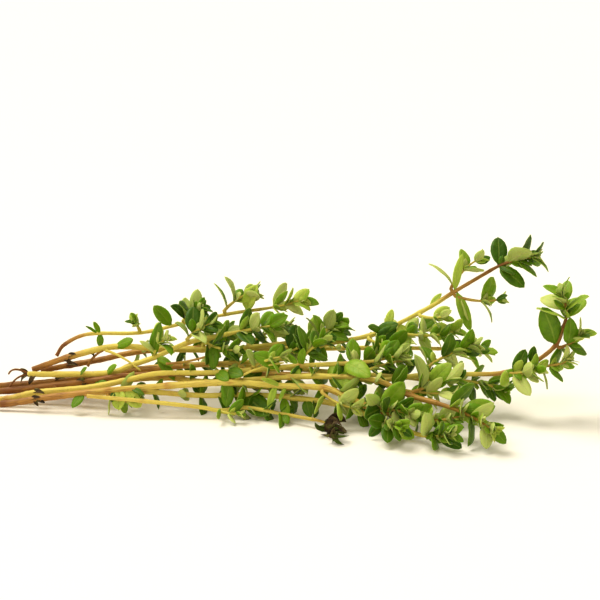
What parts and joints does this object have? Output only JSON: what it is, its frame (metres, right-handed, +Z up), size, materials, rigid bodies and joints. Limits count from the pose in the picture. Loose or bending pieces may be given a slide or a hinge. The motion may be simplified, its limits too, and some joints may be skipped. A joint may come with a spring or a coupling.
{
  "type": "thyme bundle",
  "caption": "Loose bunch of fresh-cut thyme lying flat: woody stems running together to the cut ends, leafy side shoots and tips spreading at the other end.",
  "frame": {"origin": "middle of the bunch's footprint, on the surface that it lies on", "axes": "+X from the cut stem ends towards the leafy tips, +Y to the back, +Z up"},
  "size_m": [0.1932, 0.0822, 0.051],
  "materials": {
    "stem": "thin green-woody stem, yellow-green with red-brown stretches, slightly ridged, satin",
    "leaf": "small fresh leaf, semi-gloss mid green above with fine pits, paler matte green below",
    "withered_leaf": "dried curled leaf, dark brown, matte and wrinkled"
  },
  "bodies": {
    "root": {"sprig_01_shoot_1": "leaf", "sprig_01_shoot_2": "leaf", "sprig_01_shoot_3": "leaf", "sprig_01_stem": "stem", "sprig_02_shoot_1": "leaf", "sprig_02_shoot_2": "leaf", "sprig_02_shoot_3": "leaf", "sprig_02_shoot_4": "leaf", "sprig_02_stem": "stem", "sprig_03_shoot_1": "leaf", "sprig_03_shoot_2": "leaf", "sprig_03_shoot_3": "leaf", "sprig_03_shoot_4": "leaf", "sprig_03_stem": "stem", "sprig_04_shoot_1": "leaf", "sprig_04_shoot_2": "leaf", "sprig_04_shoot_3": "leaf", "sprig_04_shoot_4": "leaf", "sprig_04_stem": "stem", "sprig_05_shoot_1": "leaf", "sprig_05_shoot_2": "leaf", "sprig_05_shoot_3": "leaf", "sprig_05_shoot_4": "leaf", "sprig_05_shoot_5": "leaf", "sprig_05_shoot_6": "leaf", "sprig_05_shoot_7": "leaf", "sprig_05_shoot_8": "leaf", "sprig_05_stem": "stem", "sprig_06_shoot_1": "leaf", "sprig_06_shoot_2": "leaf", "sprig_06_shoot_3": "leaf", "sprig_06_shoot_4": "leaf", "sprig_06_shoot_5": "leaf", "sprig_06_shoot_6": "leaf", "sprig_06_shoot_7": "leaf", "sprig_06_stem": "stem", "sprig_07_shoot_1": "leaf", "sprig_07_shoot_2": "leaf", "sprig_07_shoot_3": "leaf", "sprig_07_stem": "stem", "sprig_08_shoot_1": "leaf", "sprig_08_shoot_2": "leaf", "sprig_08_shoot_3": "leaf", "sprig_08_shoot_4": "leaf", "sprig_08_shoot_5": "leaf", "sprig_08_stem": "stem", "sprig_09_shoot_1": "leaf", "sprig_09_shoot_2": "withered_leaf", "sprig_09_stem": "stem", "sprig_10_shoot_1": "leaf", "sprig_10_shoot_2": "leaf", "sprig_10_shoot_3": "leaf", "sprig_10_stem": "stem", "sprig_11_shoot_1": "leaf", "sprig_11_shoot_2": "leaf", "sprig_11_shoot_3": "leaf", "sprig_11_stem": "stem", "sprig_12_shoot_1": "leaf", "sprig_12_shoot_2": "leaf", "sprig_12_stem": "stem"}
  },
  "joints": []
}
